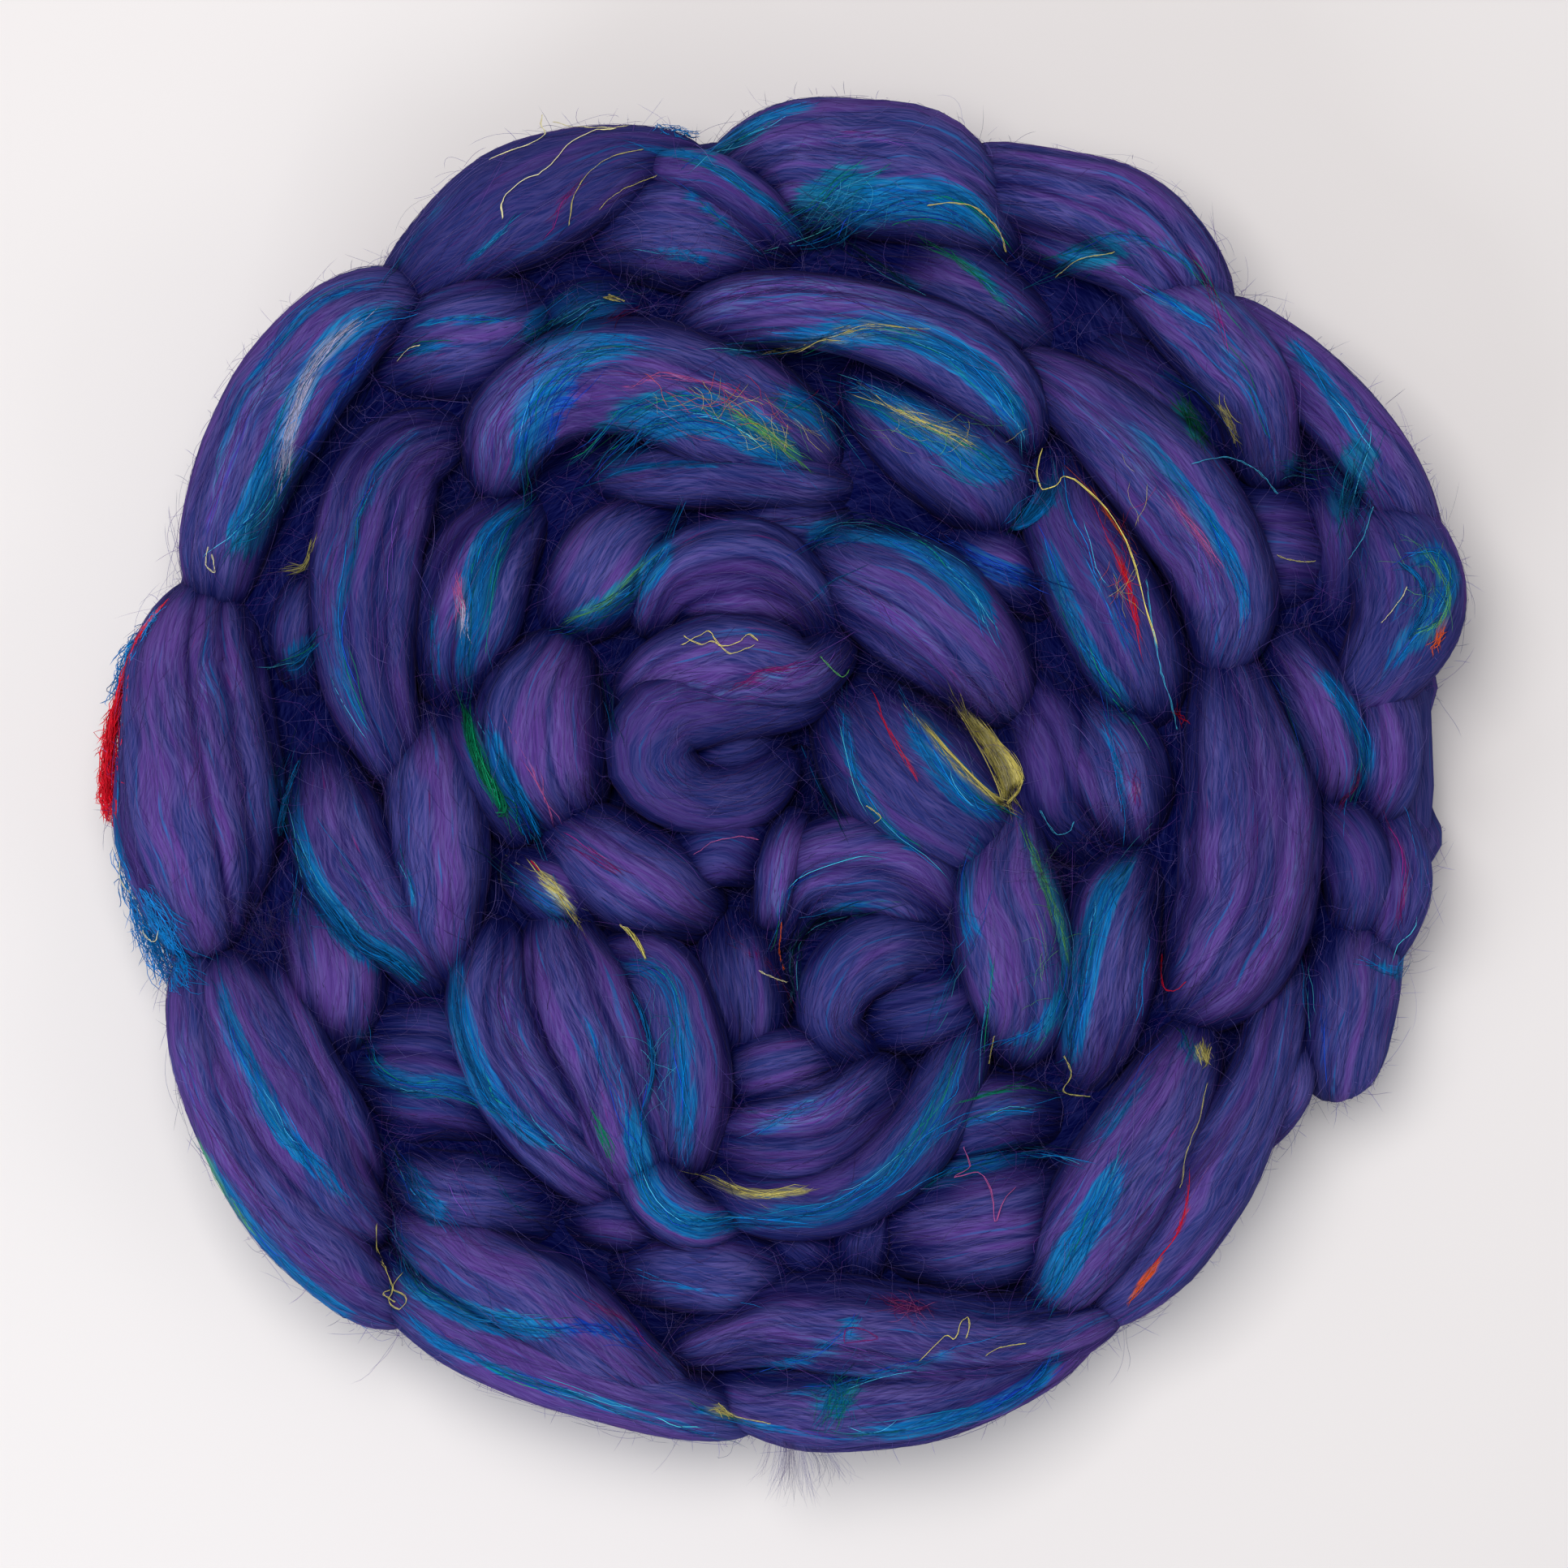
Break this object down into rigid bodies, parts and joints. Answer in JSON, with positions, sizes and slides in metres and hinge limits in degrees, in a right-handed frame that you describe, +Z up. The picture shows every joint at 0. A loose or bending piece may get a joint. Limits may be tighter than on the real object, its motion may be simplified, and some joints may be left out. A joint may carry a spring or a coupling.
{
  "type": "wool roving",
  "caption": "Chain-plaited length of combed wool and silk top, wound in a flat spiral that lies on a surface, ready for spinning or felting.",
  "frame": {"origin": "Under the middle of the coil, on the surface that it rests on.", "axes": "+Z is up, through the thin way of the flat coil. +Y points away from a viewer who stands at the near edge and +X to that viewer's right; the plait's free end is on the +X side."},
  "size_m": [0.3485, 0.3512, 0.0548],
  "materials": {
    "violet_wool": "Soft combed wool top in deep violet, with streaks of turquoise, blue and green silk and a few bright silk threads; matt and hairy, with a slight sheen along the fibres."
  },
  "bodies": {
    "root": {"roving": "violet_wool"}
  },
  "joints": []
}
